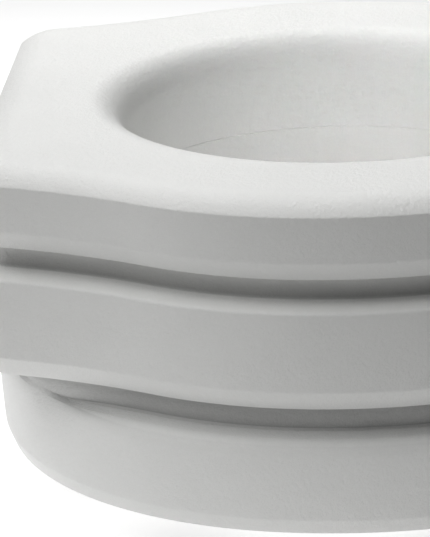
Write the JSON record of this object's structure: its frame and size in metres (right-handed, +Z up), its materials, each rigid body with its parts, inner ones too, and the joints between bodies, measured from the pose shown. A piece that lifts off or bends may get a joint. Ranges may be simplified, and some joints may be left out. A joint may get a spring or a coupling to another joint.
{
  "type": "raised toilet seat",
  "caption": "White plastic raised toilet seat with stacked tiers, a round opening, squared rear corners, rear rim hooks and a front screw clamp worked by a knob.",
  "frame": {"origin": "bottom centre of the whole object, on the surface that its hooks and clamp jaw stand on", "axes": "+X to the sitter's left, +Y to the rear, +Z up; the knob faces -Y"},
  "size_m": [0.354, 0.4138, 0.2032],
  "materials": {
    "shell_plastic": "fine-grained white polyethylene, satin",
    "cover_plastic": "white polypropylene, matte",
    "pad_rubber": "soft matte rubber",
    "bracket_steel": "brushed stainless",
    "screw_steel": "turned stainless",
    "knob_plastic": "grained grey-blue nylon",
    "cap_plastic": "satin white",
    "bearing_plastic": "natural acetal",
    "nut_brass": "machined"
  },
  "bodies": {
    "seat": {"base_cover": "cover_plastic", "base_screws": "screw_steel", "clamp_guide": "bearing_plastic", "drain_plugs": "pad_rubber", "front_bush": "bearing_plastic", "guide_screws": "screw_steel", "hook_screws": "screw_steel", "rear_hook_left": "bracket_steel", "rear_hook_pad_left": "pad_rubber", "rear_hook_pad_right": "pad_rubber", "rear_hook_right": "bracket_steel", "rim_pad_front_left": "pad_rubber", "rim_pad_front_right": "pad_rubber", "rim_pad_rear_left": "pad_rubber", "rim_pad_rear_right": "pad_rubber", "riser_shell": "shell_plastic", "seat_shell": "shell_plastic", "shell_screws": "screw_steel", "thrust_washer": "bearing_plastic"},
    "knob": {"lock_knob": "knob_plastic", "knob_cap": "cap_plastic", "knob_screw": "screw_steel", "lead_screw": "screw_steel", "retaining_ring": "screw_steel"},
    "jaw": {"carriage_nut": "nut_brass", "clamp_jaw": "bracket_steel", "jaw_screws": "screw_steel", "jaw_pad": "pad_rubber"}
  },
  "joints": [
    {"name": "knob_turn", "type": "hinge", "parent": "seat", "child": "knob", "pos_m": [0, -0.1795, 0.05], "axis": [0, 1, 0], "range_deg": [0, 990]},
    {"name": "jaw_slide", "type": "slide", "parent": "seat", "child": "jaw", "axis": [0, -1, 0], "range_m": [0, 0.022]}
  ],
  "couplings": [
    {"joint": "knob_turn", "follows": "jaw_slide", "rad_per_m": 785.4}
  ]
}
